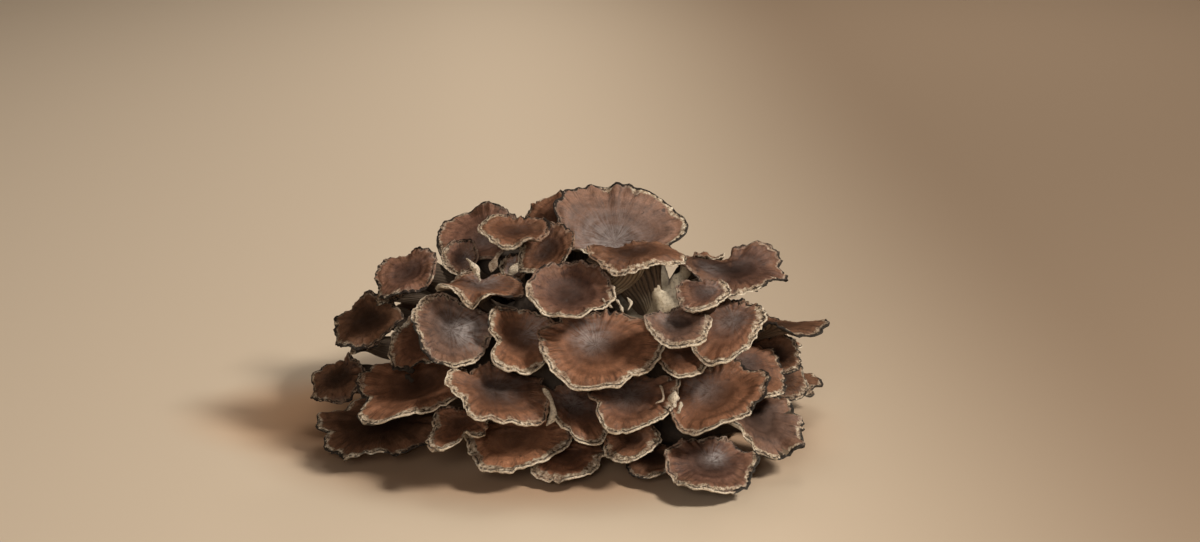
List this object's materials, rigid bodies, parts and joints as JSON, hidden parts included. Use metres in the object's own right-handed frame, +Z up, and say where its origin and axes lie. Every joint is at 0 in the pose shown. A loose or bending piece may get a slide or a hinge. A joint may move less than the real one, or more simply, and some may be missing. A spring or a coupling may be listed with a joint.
{
  "type": "maitake mushroom",
  "caption": "Cluster of overlapping wavy brown fan-shaped fronds that grow on short stipes from one branched pale stem base with a flat cut foot.",
  "frame": {"origin": "middle of the stem base's cut foot, on the surface that the cluster rests on", "axes": "+Z up, -Y towards the viewer's side of the cluster, +X to the viewer's right"},
  "size_m": [0.2538, 0.223, 0.1152],
  "materials": {
    "skin_brown": "matt brown skin with fine radial fibres and a pale margin",
    "skin_warm": "matt red-brown skin with darker rings and a pale margin",
    "skin_mauve": "mauve-brown skin, slightly glossy near the middle",
    "skin_grey": "grey-brown skin with a whitish sheen",
    "skin_dark": "near-black brown skin with a ragged dark margin",
    "stem_flesh": "matt cream flesh"
  },
  "bodies": {
    "root": {"stem_base": "stem_flesh", "crown_frond": "skin_grey", "crown_saddle_frond": "skin_warm", "crown_back_frond": "skin_brown", "upper_left_rear_frond": "skin_mauve", "upper_left_frond": "skin_brown", "upper_middle_frond": "skin_brown", "upright_frond": "skin_mauve", "folded_side_frond": "skin_brown", "folded_front_frond": "skin_warm", "hollow_bud_frond": "skin_warm", "round_dish_frond": "skin_mauve", "left_shoulder_frond": "skin_mauve", "left_shoulder_lobe": "skin_dark", "left_dark_frond": "skin_dark", "left_small_lobe": "skin_dark", "left_knotted_frond": "skin_brown", "left_sheen_frond": "skin_grey", "left_large_frond": "skin_warm", "far_left_frond": "skin_dark", "left_bottom_frond": "skin_dark", "heart_frond": "skin_warm", "central_frond": "skin_warm", "front_long_frond": "skin_warm", "front_folded_frond": "skin_brown", "front_middle_frond": "skin_brown", "bottom_small_frond": "skin_warm", "bottom_front_frond": "skin_warm", "bottom_step_frond": "skin_brown", "bottom_middle_frond": "skin_warm", "bottom_dark_frond": "skin_dark", "right_saddle_frond": "skin_mauve", "right_rear_lobe": "skin_brown", "right_small_frond": "skin_mauve", "middle_small_frond": "skin_grey", "right_middle_frond": "skin_brown", "right_back_lobe": "skin_dark", "right_wing_frond": "skin_dark", "right_edge_frond": "skin_dark", "middle_hidden_frond": "skin_brown", "right_large_frond": "skin_warm", "right_side_frond": "skin_brown", "far_right_frond": "skin_dark", "right_lower_frond": "skin_grey", "bottom_right_frond": "skin_mauve", "back_crown_frond": "skin_mauve", "back_upper_left_frond": "skin_brown", "back_upper_right_frond": "skin_warm", "back_left_shoulder_frond": "skin_mauve", "back_centre_frond": "skin_warm", "back_middle_right_frond": "skin_brown", "back_middle_left_frond": "skin_grey", "back_right_side_frond": "skin_brown", "back_left_side_frond": "skin_dark", "back_lower_centre_frond": "skin_warm", "back_lower_right_frond": "skin_mauve", "back_lower_left_frond": "skin_brown", "back_bottom_frond": "skin_dark", "back_bottom_right_frond": "skin_dark", "back_bottom_left_frond": "skin_dark"}
  },
  "joints": []
}
